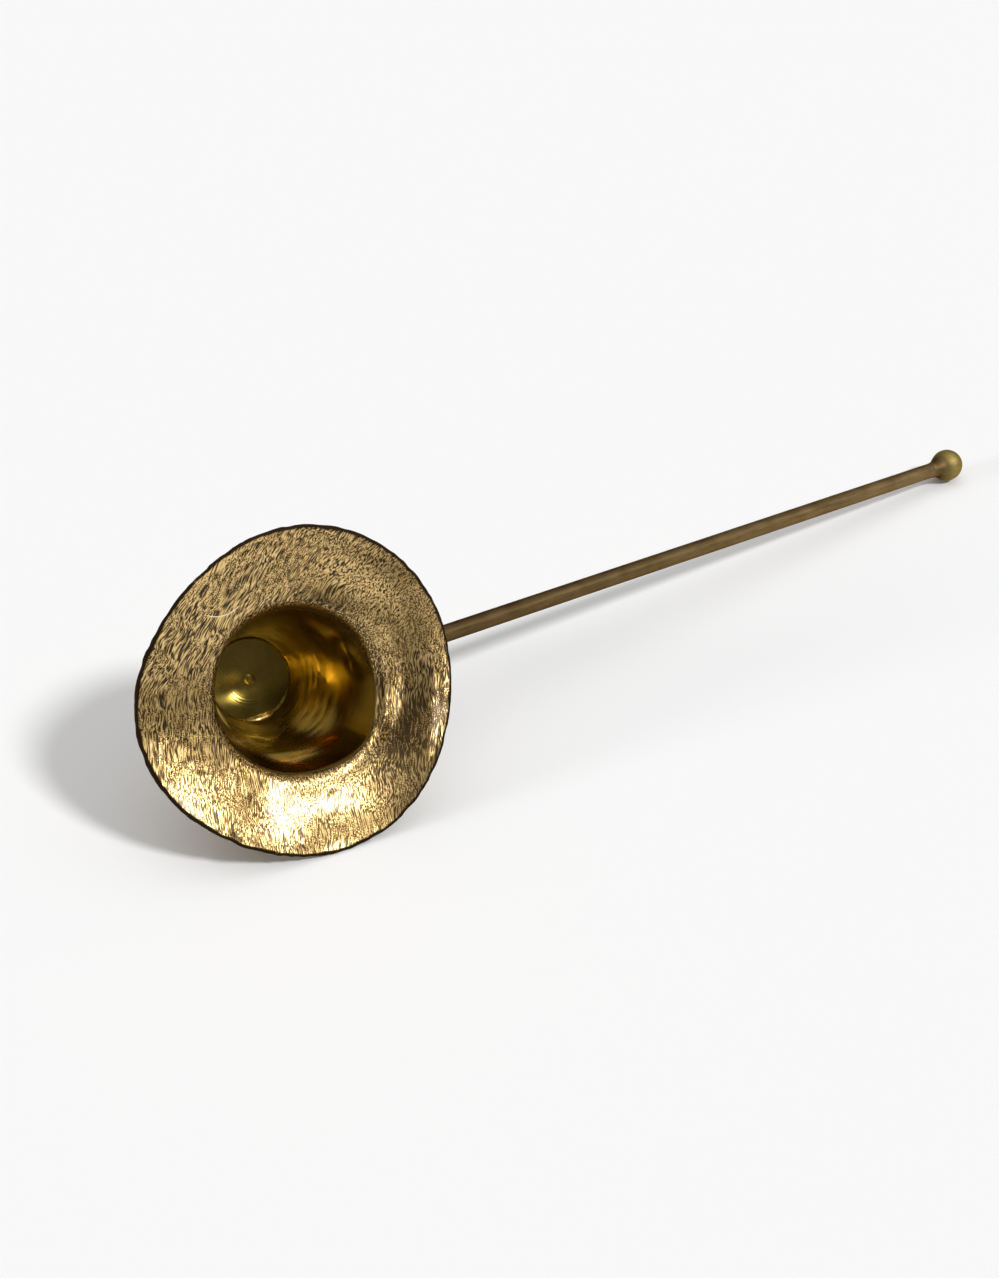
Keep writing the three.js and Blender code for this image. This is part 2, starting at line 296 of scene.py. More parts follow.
# Brown of the rim, smudge and gouges, also the painted shade line at the throat
BROWN_AND_SHADE = (0.024, 0.014, 0.007, 1)
TENON_BRASS = [(0.48, 0.36, 0.14, 1), (0.58, 0.45, 0.2, 1)]
DISC_BRASS = [(0.35, 0.245, 0.046, 1), (0.46, 0.325, 0.068, 1)]
DISC_LOW = (0.16, 0.114, 0.022, 1)
ROD_DARK = [(0.1, 0.063, 0.025, 1), (0.15, 0.098, 0.042, 1)]
ROD_CLEAR = [(0.21, 0.139, 0.06, 1), (0.3, 0.205, 0.094, 1)]
BALL_CLEAR = [(0.28, 0.213, 0.072, 1), (0.4, 0.303, 0.105, 1)]
BRAZE_COLOURS = [(0.3, 0.19, 0.06, 1), (0.66, 0.47, 0.18, 1)]
BRAZE_SOOT = (0.07, 0.05, 0.015, 1)
GLANCING = (0.95, 0.84, 0.6, 1)
ROD_GLANCING = (0.4, 0.32, 0.22, 1)
TABLE_WHITE = (0.92, 0.92, 0.92, 1)
SIDE_PALE = (0.92, 0.92, 0.92, 1)
SIDE_DARK = (0.1, 0.1, 0.1, 1)
CEILING = (1.15, 1.15, 1.15, 1)

# Roughness of the pieces, and the coat of the bell. Thick soot is matt.
BRUSH_ROUGHNESS = (0.42, 0.31)
CUP_ROUGHNESS = 0.15
WORN_ROUGHNESS = 0.62
SOOT_ROUGHNESS = 0.5
MATT_SOOT = (0.6, 0.95)
RIM_ROUGHNESS = 0.6
TENON_ROUGHNESS = 0.2
DISC_ROUGHNESS = (0.21, 0.26)
ROD_ROUGHNESS = (0.46, 0.56)
BALL_ROUGHNESS = 0.6
BRAZE_ROUGHNESS = (0.4, 0.22)
TABLE_ROUGHNESS = 0.9
# Metallic share where the cup's glow is painted
GLOW_METAL = 0.72
COAT = 0.4
COAT_ROUGHNESS = 0.24

# Camera and light: headings and heights in degrees, rises as shares of straight up
CAMERA_PLACE = (-253.75 * MM, -285 * MM, 260.8 * MM)
CAMERA_HEADING = 37.88
CAMERA_TILT = 34.62
CAMERA_LENS = 53.52
KEY_HEADING = -72.3
KEY_HEIGHT = 47
KEY_STRENGTH = 1.9
KEY_WIDTH = 9
FILL_HEADING = 168
FILL_HEIGHT = 15
FILL_STRENGTH = 0.8
FILL_WIDTH = 16
SIDE_FOOT = 0.06
SIDE_RISE = 0.12
CEILING_RISE = 0.55
FLOOR_SIZE = 8

# Columns of faces round the bell, and round the smaller pieces
COLUMNS = 480
ROUND_COLUMNS = 96

throat_height = BELL_HEIGHT - BRIM_RISE
cone_angle = math.atan((THROAT_RADIUS - CROWN_RADIUS) / throat_height)
wall_across = WALL / math.cos(cone_angle)


def wall_radius(height):
    return CROWN_RADIUS + height * math.tan(cone_angle)


wall_inside = wall_radius(HANDLE_HEIGHT) * math.cos(cone_angle)
wall_outside = wall_inside + WALL

# The bell's frame starts at the crown's centre, with +X to the handle's side and +Z out of the mouth.
# The handle's frame has +Z along the rod.
crown = frame["record"]["mounts"][0]
mouth_way = -Vector(crown["axis"])
ball_low, ball_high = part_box("ball_finial")
handle_side = (ball_low + ball_high) / 2 - Vector(crown["pos_m"])
handle_side = (handle_side - handle_side.project(mouth_way)).normalized()
bell_frame = Matrix((handle_side, mouth_way.cross(handle_side), mouth_way)).transposed().to_4x4()
bell_frame.translation = Vector(crown["pos_m"])
handle_turn = Matrix.Rotation(math.pi / 2 + cone_angle, 4, "Y")
handle_frame = bell_frame @ Matrix.Translation((0, 0, HANDLE_HEIGHT)) @ handle_turn


# Lines and meshes

def line(start, end, count):
    share = np.linspace(0, 1, count)[:, None]
    return (1 - share) * np.array(start) + share * np.array(end)


def bezier(start, bend, end, count):
    share = np.linspace(0, 1, count)[:, None]
    start, bend, end = np.array(start), np.array(bend), np.array(end)
    return (1 - share) ** 2 * start + 2 * share * (1 - share) * bend + share**2 * end


def arc(centre, radii, start, end, count):
    angle = np.radians(np.linspace(start, end, count))
    return np.array(centre) + np.stack([radii[0] * np.cos(angle), radii[1] * np.sin(angle)], 1)


def join(*stretches):
    """One line from several, without the doubled points where they meet."""
    points = np.vstack(stretches)
    steps = np.linalg.norm(np.diff(points, axis=0), axis=1)
    return points[np.concatenate([[True], steps > 1e-9])]


def turn(profile, columns):
    """Places and faces of a profile of (radius, height) turned round +Z. A closed profile makes a ring."""
    ring = np.allclose(profile[0], profile[-1])
    rows = profile[:-1] if ring else profile
    angle = np.linspace(0, 2 * np.pi, columns, endpoint=False)
    radius, height = rows[:, 0][:, None], rows[:, 1][:, None]
    places = np.stack(
        [radius * np.cos(angle), radius * np.sin(angle), np.repeat(height, columns, 1)], -1
    ).reshape(-1, 3)
    low = np.arange(len(rows) if ring else len(rows) - 1)[:, None] * columns
    high = (low + columns) % len(places)
    here = np.arange(columns)
    after = (here + 1) % columns
    faces = np.stack([low + here, low + after, high + after, high + here], -1).reshape(-1, 4)
    return places, faces


def round_place(places):
    """The angle and the radius of each place round +Z."""
    return np.arctan2(places[:, 1], places[:, 0]), np.hypot(places[:, 0], places[:, 1])


def smooth_step(value, low, high):
    share = np.clip((value - low) / (high - low), 0, 1)
    return share * share * (3 - 2 * share)


def turned_from(angle, middle):
    """Degrees from a patch's middle, between -180 and 180."""
    return (np.degrees(angle) - middle + 180) % 360 - 180


def soft_patch(turned, spread, off, width):
    """The share of a soft patch: one in its middle, fading over its spread and its width."""
    return np.exp(-((turned / spread) ** 2) - (off / width) ** 2)


def wander(places, layers, seed):
    """Smooth uneven offsets, one for each place: layers of (size, distance)."""
    shift = Vector((seed, 2 * seed, 3 * seed))
    total = np.zeros(len(places))
    for size, distance in layers:
        spots = places / distance
        total += size * np.array([noise.noise(Vector(spot) + shift) for spot in spots])
    return total


def make_piece(node, places, faces, pose, materials, marks=None, paint=None):
    """A smooth closed mesh that stands for a node, with its own places and marks for the materials."""
    mesh = bpy.data.meshes.new(node + "_skin")
    turned = places @ np.array(pose.to_3x3()).T + np.array(pose.translation)
    mesh.from_pydata(turned.tolist(), [], faces.tolist())
    mesh.attributes.new("place", "FLOAT_VECTOR", "POINT").data.foreach_set("vector", places.ravel())
    for name, values in (marks or {}).items():
        mesh.attributes.new(name, "FLOAT", "POINT").data.foreach_set("value", values)
    for material in materials:
        mesh.materials.append(material)
    if paint is not None:
        mesh.polygons.foreach_set("material_index", paint)
    solid = bmesh.new()
    solid.from_mesh(mesh)
    bmesh.ops.remove_doubles(solid, verts=solid.verts, dist=1e-7)
    bmesh.ops.recalc_face_normals(solid, faces=solid.faces)
    solid.to_mesh(mesh)
    solid.free()
    mesh.shade_smooth()
    piece = bpy.data.objects.new(node + "_skin", mesh)
    bpy.context.scene.collection.objects.link(piece)
    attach(piece, "root")
    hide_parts(node)


# Material nodes

def connect(tree, made, inputs):
    """Sets a node's inputs, or links those whose value comes from another node."""
    for name, value in inputs.items():
        if isinstance(value, bpy.types.NodeSocket):
            tree.links.new(value, made.inputs[name])
        else:
            made.inputs[name].default_value = value


def add(tree, kind, inputs, **settings):
    """One node, with its settings and inputs."""
    made = tree.nodes.new("ShaderNode" + kind)
    for name, value in settings.items():
        setattr(made, name, value)
    connect(tree, made, inputs)
    return made


def mark(tree, name):
    return add(tree, "Attribute", {}, attribute_name=name).outputs["Fac"]


def own_place(tree):
    """Where the surface is in its piece's own frame."""
    return add(tree, "Attribute", {}, attribute_name="place").outputs["Vector"]


def split(tree, vector):
    return add(tree, "SeparateXYZ", {0: vector}).outputs


def mix_colour(tree, share, first, second):
    return add(tree, "Mix", {0: share, 6: first, 7: second}, data_type="RGBA").outputs[2]


def mix_value(tree, share, first, second):
    return add(tree, "Mix", {0: share, 2: first, 3: second}).outputs[0]


def maths(tree, operation, first, second=0.0):
    return add(tree, "Math", {0: first, 1: second}, operation=operation).outputs[0]


def vector_maths(tree, operation, first, second):
    return add(tree, "VectorMath", {0: first, 1: second}, operation=operation).outputs


def fade(tree, value, low, high, at_low=0.0, at_high=1.0):
    """A smooth step from one value to another."""
    inputs = {"Value": value, "From Min": low, "From Max": high, "To Min": at_low, "To Max": at_high}
    return add(tree, "MapRange", inputs, interpolation_type="SMOOTHSTEP").outputs[0]


def grain(tree, place, size, detail=2.0):
    """Even noise with features of about the given size."""
    inputs = {"Vector": place, "Scale": 1 / size, "Detail": detail, "Roughness": 0.6}
    return add(tree, "TexNoise", inputs).outputs[0]


def strokes(tree, place, way, length, width, detail=1.0, curl=0.0):
    """Noise drawn out into strokes that run at an angle from +X."""
    stretch = {"Vector": place, "Rotation": (0, 0, math.radians(way)), "Scale": (length, width, width)}
    turned = add(tree, "Mapping", stretch, vector_type="TEXTURE").outputs[0]
    inputs = {"Vector": turned, "Scale": 1.0, "Detail": detail, "Roughness": 0.6, "Distortion": curl}
    return add(tree, "TexNoise", inputs).outputs[0]


def bend(tree, place, size, reach):
    """Places shifted unevenly, so that strokes drawn on them curve."""
    uneven = add(tree, "TexNoise", {"Vector": place, "Scale": 1 / size, "Detail": 0.0}).outputs["Color"]
    way = vector_maths(tree, "SUBTRACT", uneven, (0.5, 0.5, 0.5))[0]
    shift = add(tree, "VectorMath", {0: way, "Scale": reach}, operation="SCALE").outputs[0]
    return vector_maths(tree, "ADD", place, shift)[0]


def start_material(name):
    material = bpy.data.materials.new(name)
    material.use_nodes = True
    tree = material.node_tree
    return material, tree, tree.nodes["Principled BSDF"]


def finish_metal(tree, shader, base, roughness, height, depth, glancing=GLANCING):
    """Sets a metal's colour, roughness, relief of a full height, and colour at glancing angles."""
    relief = add(tree, "Bump", {"Height": height, "Distance": depth}).outputs[0]
    inputs = {"Base Color": base, "Roughness": roughness, "Normal": relief}
    connect(tree, shader, {"Metallic": 1, "Specular Tint": glancing, **inputs})


# Materials

def scratched(tree, place):
    """One on the bright scratch, nothing elsewhere."""
    spot = split(tree, place)
    flat = add(tree, "CombineXYZ", {"X": spot["X"], "Y": spot["Y"]}).outputs[0]
    far = vector_maths(tree, "DISTANCE", flat, (*SCRATCH_CENTRE, 0))["Value"]
    off = maths(tree, "ABSOLUTE", maths(tree, "SUBTRACT", far, SCRATCH_RADIUS))
    on_line = fade(tree, off, 0.4 * SCRATCH_WIDTH, SCRATCH_WIDTH, 1.0, 0.0)
    return maths(tree, "MULTIPLY", on_line, maths(tree, "LESS_THAN", spot["Y"], SCRATCH_TOP))


def brush_strokes(tree, place, spot):
    """Bent strokes of the brush: steep at the low side, flatter at the top, flattest at the top right."""
    top = fade(tree, spot["Y"], *FLATTER_UP)
    right = fade(tree, spot["X"], *FLATTER_ACROSS)
    curved = bend(tree, place, *BRUSH_BEND)
    steep, middle, flat = [
        strokes(tree, curved, way, length, BRUSH_WIDTH, 0.0, BRUSH_CURL) for way, length in BRUSH_STROKES
    ]
    left = mix_value(tree, top, steep, middle)
    return mix_value(tree, maths(tree, "MULTIPLY", top, right), left, flat)


def brush_tone(tree, place, stroke):
    """Strokes, with more of fine specks in some patches."""
    speck = grain(tree, place, BRUSH_WIDTH, 0.0)
    patch = fade(tree, grain(tree, place, TONE_PATCHES, 1.0), *PATCH_SPAN, *STROKE_SHARES)
    return mix_value(tree, patch, speck, stroke)


def brim_look(tree, tone, cloud, spot):
    """Colour and roughness of brushed brass: gold on top, brown below, and dark in the grooves."""
    # Painted shade lowers the tone here and painted highlights raise it
    shaded = maths(tree, "ADD", tone, maths(tree, "MULTIPLY", mark(tree, "painted_light"), PAINTED_LIGHT_LIFT))
    gold_share = fade(tree, shaded, *GOLD_TONES)
    brown = mix_colour(tree, cloud, *BRUSH_BROWN)
    low_side = fade(tree, spot["Y"], *GROOVE_HEIGHTS, 1.0, 0.0)
    groove = mix_colour(tree, low_side, *GROOVES)
    grooved = mix_colour(tree, fade(tree, shaded, *GROOVE_TONES), groove, brown)
    skin = mix_colour(tree, gold_share, grooved, BRUSH_GOLD)
    return skin, mix_value(tree, gold_share, *BRUSH_ROUGHNESS)


def cup_look(tree, cloud, painted_glow):
    """Colour and roughness of the polished cup, with its rubbed side in painted light, soot, and painted
    glows.
    """
    worn_and_lit = mark(tree, "worn_and_lit")
    soot = mark(tree, "soot")
    polish = mix_colour(tree, cloud, *CUP_BRASS)
    # The rubbed side is rough, and its brighter colour is painted light
    rubbed_and_lit = mix_colour(tree, worn_and_lit, polish, WORN_LIT_BRASS)
    sooted = mix_colour(tree, soot, rubbed_and_lit, CUP_SOOT)
    inside = mix_colour(tree, painted_glow, sooted, GLOW_GOLD)
    clean_rough = mix_value(tree, worn_and_lit, CUP_ROUGHNESS, WORN_ROUGHNESS)
    return inside, mix_value(tree, fade(tree, soot, *MATT_SOOT), clean_rough, SOOT_ROUGHNESS)


def brushed_brass():
    """Brown and gold brush strokes on the brim and outside with painted shade and highlights, polished amber
    inside with painted light and glows, a browned rim and a painted shade line at the throat.
    """
    material, tree, shader = start_material("brushed_brass")
    place = own_place(tree)
    spot = split(tree, place)
    brushed = mark(tree, "brushed")
    browned_and_shaded = mark(tree, "browned_and_shaded")
    painted_glow = mark(tree, "painted_glow")
    cloud = grain(tree, place, BELL_CLOUDS)
    stroke = brush_strokes(tree, place, spot)
    tone = brush_tone(tree, place, stroke)
    skin, skin_rough = brim_look(tree, tone, cloud, spot)
    inside, cup_rough = cup_look(tree, cloud, painted_glow)
    metal = mix_colour(tree, brushed, inside, skin)
    bared = mix_colour(tree, scratched(tree, place), metal, SCRATCH_GOLD)
    # Browning, and the painted shade line at the throat
    base = mix_colour(tree, browned_and_shaded, bared, BROWN_AND_SHADE)
    roughness = mix_value(tree, browned_and_shaded, mix_value(tree, brushed, cup_rough, skin_rough), RIM_ROUGHNESS)
    height = mix_value(tree, brushed, maths(tree, "MULTIPLY", stroke, CUP_RELIEF_SHARE), tone)
    finish_metal(tree, shader, base, roughness, height, BRUSH_RELIEF)
    # Less metallic where the cup's glow is painted
    tree.links.new(fade(tree, painted_glow, 0.0, 1.0, 1.0, GLOW_METAL), shader.inputs["Metallic"])
    bare = maths(tree, "SUBTRACT", brushed, browned_and_shaded)
    tree.links.new(maths(tree, "MULTIPLY", bare, COAT), shader.inputs["Coat Weight"])
    shader.inputs["Coat Roughness"].default_value = COAT_ROUGHNESS
    return material


def polished_brass():
    """Amber polished brass with fine rubbing marks."""
    material, tree, shader = start_material("polished_brass")
    rub = strokes(tree, own_place(tree), *TENON_RUBS)
    base = mix_colour(tree, rub, *TENON_BRASS)
    finish_metal(tree, shader, base, TENON_ROUGHNESS, rub, TENON_RELIEF)
    return material


def turned_brass():
    """Slightly green brass with the fine rings of the lathe, darker towards its low side."""
    material, tree, shader = start_material("turned_brass")
    place = own_place(tree)
    flat = vector_maths(tree, "MULTIPLY", place, (1, 1, 0))[0]
    radius = add(tree, "VectorMath", {0: flat}, operation="LENGTH").outputs["Value"]
    lathe = {"W": radius, "Scale": 1 / LATHE_RINGS, "Detail": 2.0}
    ring = add(tree, "TexNoise", lathe, noise_dimensions="1D").outputs[0]
    cloud = grain(tree, place, DISC_CLOUDS)
    bright = mix_colour(tree, cloud, *DISC_BRASS)
    low_side = fade(tree, split(tree, place)["Y"], *DISC_SHADE, 1.0, 0.0)
    base = mix_colour(tree, low_side, bright, DISC_LOW)
    roughness = fade(tree, cloud, *CLOUD_SPAN, *DISC_ROUGHNESS)
    finish_metal(tree, shader, base, roughness, ring, DISC_RELIEF)
    return material


def near_ball(tree, along, start, end):
    """A smooth step along the handle, between two places before the ball's centre."""
    return fade(tree, along, HANDLE_REACH - start, HANDLE_REACH - end)


def satin_brass():
    """Drawn brass with faint lengthwise rubs, darker near the bell and clearer towards the ball and on its
    end.
    """
    material, tree, shader = start_material("satin_brass")
    place = own_place(tree)
    stretch = {"Vector": place, "Scale": (FIBRES_ACROSS, FIBRES_ACROSS, FIBRES_ALONG)}
    drawn = add(tree, "Mapping", stretch).outputs[0]
    fibre = add(tree, "TexNoise", {"Vector": drawn, "Scale": 1.0, "Detail": 2.0}).outputs[0]
    cloud = grain(tree, place, ROD_CLOUDS, 3.0)
    speck = grain(tree, place, ROD_SPECKS)
    tone = maths(tree, "ADD", maths(tree, "MULTIPLY", fibre, 0.5), maths(tree, "MULTIPLY", cloud, 0.5))
    tone = fade(tree, tone, *ROD_TONES)
    darker_end = mix_colour(tree, tone, *ROD_DARK)
    along = split(tree, place)["Z"]
    shank_clear = fade(tree, along, ROD_CLEARING, HANDLE_REACH)
    shank = mix_colour(tree, shank_clear, darker_end, mix_colour(tree, tone, *ROD_CLEAR))
    ball_clear = near_ball(tree, along, *BALL_CLEARING)
    ball = mix_colour(tree, ball_clear, darker_end, mix_colour(tree, tone, *BALL_CLEAR))
    past_neck = near_ball(tree, along, *NECK_BLEND)
    base = mix_colour(tree, past_neck, shank, ball)
    on_ball = near_ball(tree, along, *BALL_ROUGHENING)
    rod_rough = fade(tree, cloud, *CLOUD_SPAN, *ROD_ROUGHNESS)
    roughness = mix_value(tree, on_ball, rod_rough, BALL_ROUGHNESS)
    height = maths(tree, "ADD", maths(tree, "MULTIPLY", fibre, 0.6), maths(tree, "MULTIPLY", speck, 0.4))
    finish_metal(tree, shader, base, roughness, height, ROD_RELIEF, ROD_GLANCING)
    return material


def braze():
    """Bright flowed braze, darker in patches and where soot lies."""
    material, tree, shader = start_material("braze")
    place = own_place(tree)
    cloud = grain(tree, place, BRAZE_CLOUDS)
    speck = grain(tree, place, BRAZE_SPECKS)
    bright = mix_colour(tree, fade(tree, cloud, *BRAZE_TONES), *BRAZE_COLOURS)
    base = mix_colour(tree, mark(tree, "soot"), bright, BRAZE_SOOT)
    roughness = fade(tree, cloud, *CLOUD_SPAN, *BRAZE_ROUGHNESS)
    finish_metal(tree, shader, base, roughness, speck, BRAZE_RELIEF)
    return material


# Bell

def bell_face():
    """The bell's inner line from crown to rim."""
    wall_way = np.array([math.sin(cone_angle), math.cos(cone_angle)])
    corner = np.array([THROAT_RADIUS, throat_height])
    rim = np.array([BRIM_RADIUS, BELL_HEIGHT])
    dish = (corner + rim) / 2 - np.array([0, 2 * BRIM_CURL])
    brim_way = (dish - corner) / np.linalg.norm(dish - corner)
    wall_top = corner - THROAT_ROLL * wall_way
    brim_start = corner + THROAT_ROLL * brim_way
    wall = line((CROWN_RADIUS, 0), wall_top, 70)
    roll = bezier(wall_top, corner, brim_start, 26)
    brim = bezier(brim_start, dish, rim, 90)
    return join(wall, roll, brim)


def bell_skin():
    """The round bell before any hand work: its mesh, and where on the bell each of its places lies."""
    face = bell_face()
    way = np.gradient(face, axis=0)
    way /= np.linalg.norm(way, axis=1)[:, None]
    outward = np.stack([way[:, 1], -way[:, 0]], 1)
    rim_share = smooth_step(face[:, 0], THROAT_RADIUS + THROAT_ROLL, BRIM_RADIUS)[:, None]
    back = face + (WALL + rim_share * (RIM_WALL - WALL)) * outward
    back[0] = (CROWN_RADIUS + wall_across - SKIN_INSET, 0)
    edge_turn = np.linspace(0, np.pi, 14)[1:-1, None]
    middle = (face[-1] + back[-1]) / 2
    edge = middle + np.cos(edge_turn) * (face[-1] - middle) + np.sin(edge_turn) * RIM_ROUND * way[-1]
    foot = line(back[0], face[0], 6)[1:-1]
    profile = np.vstack([face, edge, back[::-1], foot, face[:1]])
    inward = np.vstack([-outward, np.zeros_like(edge), outward[::-1], np.zeros_like(foot)])
    edge_row = len(face)
    back_row = edge_row + len(edge)
    foot_row = back_row + len(back)
    rows = np.repeat(np.arange(len(profile) - 1), COLUMNS)
    run = np.concatenate([[0], np.cumsum(np.linalg.norm(np.diff(profile, axis=0), axis=1))])

    skin = SimpleNamespace()
    skin.places, skin.faces = turn(profile, COLUMNS)
    skin.angle, skin.radius = round_place(skin.places)
    skin.height = skin.places[:, 2]
    skin.normal = np.stack(
        [inward[rows, 0] * np.cos(skin.angle), inward[rows, 0] * np.sin(skin.angle), inward[rows, 1]], 1
    )
    skin.on_face = rows < edge_row
    skin.on_foot = rows >= foot_row
    skin.in_cup = skin.on_face & (skin.height < throat_height)
    skin.along = run[rows]
    skin.throat_along = np.interp(throat_height, face[:, 1], run[:edge_row])
    edge_far = np.where(skin.on_face, run[edge_row - 1] - skin.along, skin.along - run[back_row])
    on_edge = (rows >= edge_row) & (rows < back_row)
    skin.edge_far = np.where(on_edge, 0, np.maximum(edge_far, 0))
    return skin


def wave(terms, angle):
    return sum(size * np.cos(count * (angle - math.radians(crest))) for count, size, crest in terms)


def waved(places):
    """Moves the round bell's places to the wavy one's: nothing at the throat, all at the rim."""
    angle, radius = round_place(places)
    share = np.maximum(radius - THROAT_RADIUS, 0) / (BRIM_RADIUS - THROAT_RADIUS)
    weight = share**WAVE_ONSET
    out = np.pi * np.minimum(share, 1)
    swell = np.sin(out) ** 2
    side, spread, bulge, fall = THROAT_BULGE
    throat_share = soft_patch(turned_from(angle, side), spread, radius - THROAT_RADIUS, fall)
    reach = radius + weight * wave(LOBES, angle) + bulge * throat_share
    height = places[:, 2] + weight * wave(RIPPLES, angle)
    height += swell * (wave(BULGES, angle) + 2 * np.cos(out) * wave(FOLDS, angle))
    for middle, spread, trough_radius, width, depth in TROUGHS:
        height -= depth * soft_patch(turned_from(angle, middle), spread, radius - trough_radius, width)
    return np.stack([reach * np.cos(angle), reach * np.sin(angle), height], 1)


def gouge_depth(skin):
    depth = np.zeros(len(skin.places))
    for angle, radius, way, length, width, deep in GOUGES:
        angle, way = math.radians(angle), math.radians(way)
        away = skin.places[:, :2] - radius * np.array([math.cos(angle), math.sin(angle)])
        along = away @ np.array([math.cos(way), math.sin(way)]) / length
        across = away @ np.array([-math.sin(way), math.cos(way)]) / width
        depth += deep * np.exp(-(along**2) - across**2)
    return np.where(skin.on_face, depth, 0)


def side_share(skin, middle, low, high):
    """One on the side of the bell round a middle angle, nothing on the other."""
    return smooth_step(np.cos(skin.angle - math.radians(middle)), low, high)


def brushing(skin):
    """Where along the bell's line the brushing starts, and its share. It covers all of the outside."""
    high_side = side_share(skin, *HIGH_SIDE)
    lag = BRUSH_LAG * np.maximum(np.cos(skin.angle - math.radians(LAG_SIDE)), 0)
    start = skin.throat_along - BRUSH_LEAD + lag
    start -= HIGH_FADE * high_side
    share = smooth_step((skin.along - start) / (BRUSH_FADE + HIGH_FADE * high_side), 0, 1)
    return start, np.where(skin.on_face, share, 1.0)


def browning_and_shade(skin, brush_start, gouge):
    """Browning on the rim's edge, in a smudge and in the gouges, and painted shade in a line where the
    brushing starts.
    """
    patch = wander(skin.places, BROWN_PATCHES, seed=5)
    browned_and_shaded = 1 - smooth_step(skin.edge_far / BROWNED_RIM + patch, 0.4, 2.2)
    # A painted shade line where the brushing starts
    line_share = np.exp(-(((skin.along - brush_start) / SHADE_LINE_WIDTH) ** 2))
    low_side = side_share(skin, *LOW_SIDE)
    high_side = side_share(skin, *HIGH_SIDE)
    line_depth = LINE_SHARE + LINE_LOW_GAIN * low_side - LINE_HIGH_LOSS * high_side
    browned_and_shaded += np.where(skin.on_face, line_depth * line_share * (0.9 + 0.4 * patch), 0)
    middle, spread, smudge_radius, width, share = SMUDGE
    smudge = soft_patch(turned_from(skin.angle, middle), spread, skin.radius - smudge_radius, width)
    browned_and_shaded += np.where(skin.on_face, share * smudge * (1 + patch), 0)
    return np.clip(browned_and_shaded + gouge / BROWNED_GOUGE, 0, 1)


def painted_light_marks(skin):
    """Painted shade below nothing on the throat's roll and in hollows, painted highlights above it."""
    roll = 0.5 * smooth_step(skin.along - skin.throat_along, 0, SHADED_ROLL) - 0.5
    painted_light = np.where(skin.on_face, roll, 0)
    for middle, spread, dull_radius, width, depth in PAINTED_SHADES_AND_HIGHLIGHTS:
        share = soft_patch(turned_from(skin.angle, middle), spread, skin.radius - dull_radius, width)
        painted_light -= np.where(skin.on_face, depth * share, 0)
    return painted_light


def cup_soot(skin, streaks):
    soot = np.zeros(len(skin.places))
    for middle, spread, smear_height, width, share, streaky in SMEARS:
        turned = turned_from(skin.angle, middle)
        smear = share * soft_patch(turned, spread, skin.height - smear_height, width)
        soot += smear * (1 + streaky * streaks)
    ring_full, ring_end = SOOT_RING
    return np.clip(soot + SOOT_RING_SHARE * smooth_step(-skin.height, -ring_end, -ring_full), 0, 1)


def cup_worn_and_lit(skin):
    """The rubbed side of the cup, away from the handle, its brighter colour painted light."""
    far_side = -skin.places[:, 0] + WORN_SLANT * np.minimum(skin.places[:, 1], 0)
    worn_and_lit = smooth_step(far_side, *WORN_SIDE) * smooth_step(skin.height, *WORN_FOOT)
    top_full, top_end = WORN_TOP
    return np.where(skin.in_cup, worn_and_lit * smooth_step(-skin.height, -top_end, -top_full), 0)


# Painted glows in the cup, streaky
def cup_painted_glow(skin, streaks):
    painted_glow = np.zeros(len(skin.places))
    for middle, spread, patch_height, width, share in PAINTED_GLOWS:
        turned = turned_from(skin.angle, middle)
        far = (turned / spread) ** 2 + ((skin.height - patch_height) / width) ** 2
        painted_glow += share * np.exp(-(far**2))
    return np.where(skin.in_cup, np.clip(painted_glow * (0.8 + 0.9 * streaks), 0, 1), 0)


def wall_swell(skin):
    """The wall's swelling beside the tenon's head."""
    turned = math.radians(PEEN_TURN)
    reach = wall_inside * math.cos(cone_angle)
    rise = HANDLE_HEIGHT - wall_inside * math.sin(cone_angle) + PEEN_RISE
    middle = [reach * math.cos(turned), reach * math.sin(turned), rise]
    far = np.linalg.norm(skin.places - middle, axis=1)
    return PEEN_SWELL * np.exp(-((far / PEEN_SPREAD) ** 2))


def hand_work(skin, brushed, gouge):
    """How far the skin stands out: forged brim, dents and crinkles in the cup, a ridge, a swelling."""
    forged = wander(skin.places, FORGED, seed=11)
    size, length, width = CRINKLES
    crinkled = size * np.abs(wander(skin.places / np.array([length, length, width]), [(1, 1)], seed=29))
    dents_full, dents_end = DENT_HEIGHTS
    low_share = smooth_step(-skin.height, -dents_end, -dents_full)
    dented = (wander(skin.places, DENTS, seed=23) + crinkled) * low_share
    push = np.where(skin.on_face, brushed * forged + (1 - brushed) * dented, FORGED_BACK * forged)
    rim_calm = smooth_step(-skin.radius, -BRIM_RADIUS, CALM_RIM - BRIM_RADIUS)
    push = np.where(skin.on_foot, 0, push) * rim_calm - gouge
    side, spread, ridge_height, width, ridge = CUP_RIDGE
    ridge_share = soft_patch(turned_from(skin.angle, side), spread, skin.height - ridge_height, width)
    push += np.where(skin.on_face & (skin.radius < THROAT_RADIUS), ridge * ridge_share, 0)
    push += np.where(skin.on_face, wall_swell(skin), 0)
    return push


def nicked(places, radius):
    """Draws the rim in and down a little, with nicks in it."""
    nick = np.abs(wander(places, NICKS, seed=31))
    rim_share = smooth_step(radius, BRIM_RADIUS - NICKED_RIM, BRIM_RADIUS)
    pull = 1 - rim_share * (SKIN_INSET + NICK_DEPTH * nick) / radius
    places[:, :2] *= pull[:, None]
    places[:, 2] -= rim_share * RIM_SINK
    return places


